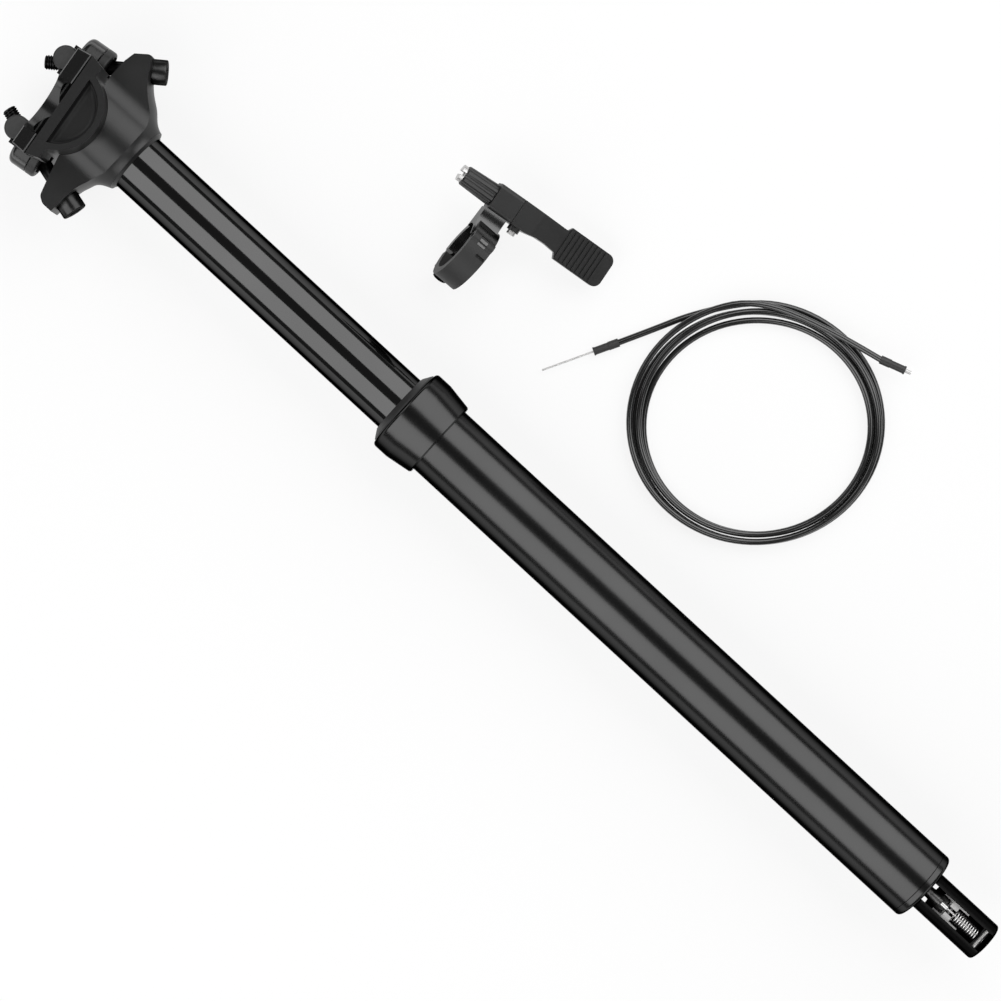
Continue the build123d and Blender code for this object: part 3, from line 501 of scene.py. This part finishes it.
def lay(t):
    """Place on the coil after t turns: in for half of them, then out one layer higher."""
    radius = COIL_X - TURN_PITCH * min(t, TURNS - t)
    level = ease((t - TURNS / 2) / CLIMB + 0.5) + ease((t - TURNS) / CLIMB + 0.5)
    a = math.pi / 2 - 2 * math.pi * t
    drift = FAN * math.sin(math.pi * t / TURNS) ** 2
    return Vector((radius * math.cos(a) + drift, radius * SQUASH * math.sin(a) - drift, LAYER_PITCH * level))


CAP_RISE, TOP_LEVEL = (FERRULE_D - CORD_D) / 2, 2 * LAYER_PITCH
TAIL_A = [(-56.2, 33.6), (-42.0, 38.9), (-26.0, 45.3)]
TAIL_B = [(27.0, 40.6), (50.7, 26.4)]
COIL_STEPS = 16
route = [Vector((*p, CAP_RISE)) for p in TAIL_A]
route += [lay(i / COIL_STEPS) for i in range(TURNS * COIL_STEPS + 1)]
route += [Vector((*p, TOP_LEVEL)) for p in TAIL_B]

cord_data = bpy.data.curves.new("cable_housing", "CURVE")
cord_data.dimensions = "3D"
spline = cord_data.splines.new("NURBS")
spline.points.add(len(route) - 1)
for point, p in zip(spline.points, route):
    point.co = (*(cable_place @ (p * MM)), 1)
spline.order_u = 3
spline.use_endpoint_u = True
spline.resolution_u = 6
cord_data.bevel_depth = CORD_D / 2 * MM
cord_data.bevel_resolution = 6
cord_data.use_fill_caps = True
cable = bpy.data.objects.new("cable_housing", cord_data)
bpy.context.collection.objects.link(cable)
cord_data.materials.append(FINISHES["cable_black"])
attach(cable, "cable")
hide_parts("cable_coil", "cable_tail_a", "cable_tail_b")

BARE_R, BARE_LEN, FERRULE_REACH = 0.4, 25.2, 8.25
wire_out = Vector((-0.94, -0.34, 0)).normalized()
wire_start = (cable_place @ ((route[0] + wire_out * FERRULE_REACH) * MM)) / MM
wire_place = local_frame(wire_start, (0, 0, 1), cable_place.to_3x3() @ wire_out)
wire_mesh = ringed_mesh("bare_wire", wire_place, stranded(BARE_LEN, BARE_R), WIRE_AROUND)
bare_wire = add_piece("bare_wire", wire_mesh, "strand_steel", "cable", "inner_wire")


# ---- Floor, backdrop and lamps
GLOW, ROOM_LIGHT = 0.84, 0.12       # the table's own white where it is seen, and the room's light


def table_top():
    """Pale table that shows white in the picture and in gloss, and keeps a soft shadow."""
    f = Finish("table_top")
    path = f.tree.nodes.new("ShaderNodeLightPath")
    seen = Field(f, path.outputs["Is Camera Ray"]) + Field(f, path.outputs["Is Glossy Ray"])
    seen = seen + Field(f, path.outputs["Is Transmission Ray"])
    lit = f.tree.nodes.new("ShaderNodeBsdfDiffuse")
    lit.inputs[0].default_value = (0.85, 0.85, 0.85, 1)
    glow = f.tree.nodes.new("ShaderNodeEmission")
    glow.inputs[0].default_value = (1, 1, 1, 1)
    mix = f.tree.nodes.new("ShaderNodeMixShader")
    f.feed(mix.inputs[0], seen.math("MINIMUM", seen, 1.0) * GLOW)
    f.tree.links.new(lit.outputs[0], mix.inputs[1])
    f.tree.links.new(glow.outputs[0], mix.inputs[2])
    f.tree.links.new(mix.outputs[0], f.output.inputs[0])
    return f.material


SIDE, FLOOR_Z = 6.0, TABLE_Z * MM - 0.0001
corners = ((-SIDE, -SIDE), (SIDE, -SIDE), (SIDE, SIDE), (-SIDE, SIDE))
floor_mesh = bpy.data.meshes.new("table")
floor_mesh.from_pydata([(x, y, FLOOR_Z) for x, y in corners], [], [(0, 1, 2, 3)])
floor = bpy.data.objects.new("table", floor_mesh)
bpy.context.collection.objects.link(floor)
floor_mesh.materials.append(table_top())


def studio_world():
    """World that is white where it is seen and lights the room dimly."""
    world = bpy.data.worlds.new("studio")
    world.use_nodes = True
    tree = world.node_tree
    tree.nodes.clear()
    path = tree.nodes.new("ShaderNodeLightPath")
    room = tree.nodes.new("ShaderNodeBackground")
    room.inputs[0].default_value = (1, 1, 1, 1)
    room.inputs[1].default_value = ROOM_LIGHT
    white = tree.nodes.new("ShaderNodeBackground")
    white.inputs[0].default_value = (1, 1, 1, 1)
    mix = tree.nodes.new("ShaderNodeMixShader")
    world_out = tree.nodes.new("ShaderNodeOutputWorld")
    tree.links.new(path.outputs["Is Camera Ray"], mix.inputs[0])
    tree.links.new(room.outputs[0], mix.inputs[1])
    tree.links.new(white.outputs[0], mix.inputs[2])
    tree.links.new(mix.outputs[0], world_out.inputs[0])
    return world


bpy.context.scene.world = studio_world()

POST_MIDDLE = Vector((0.12, 0, 0))


def softbox(name, along, out, angle, length, width, radiance, distance):
    """Area lamp, its length along one direction, aimed at the post's middle.

    It stands at a distance from there, leaning by an angle from straight up towards the out direction.
    """
    data = bpy.data.lights.new(name, "AREA")
    data.shape = "RECTANGLE"
    data.size, data.size_y = length, width
    data.energy = radiance * math.pi * length * width
    lamp = bpy.data.objects.new(name, data)
    a = math.radians(angle)
    toward = Vector(out) * math.sin(a) + Vector((0, 0, math.cos(a)))
    lamp.matrix_world = local_frame((0, 0, 0), along, toward)
    lamp.location = toward * distance + POST_MIDDLE
    bpy.context.collection.objects.link(lamp)


softbox("softbox_left", (1, 0, 0), (0, 1, 0), 44.5, 1.1, 0.97, 2.4, 0.93)
softbox("softbox_right", (1, 0, 0), (0, -1, 0), 46.5, 1.1, 0.97, 2.4, 0.93)
softbox("softbox_head", (0, 1, 0), (1, 0, 0), 58, 0.7, 0.5, 1.6, 1.2)
softbox("softbox_foot", (0, 1, 0), (-1, 0, 0), 58, 0.7, 0.5, 1.6, 1.2)
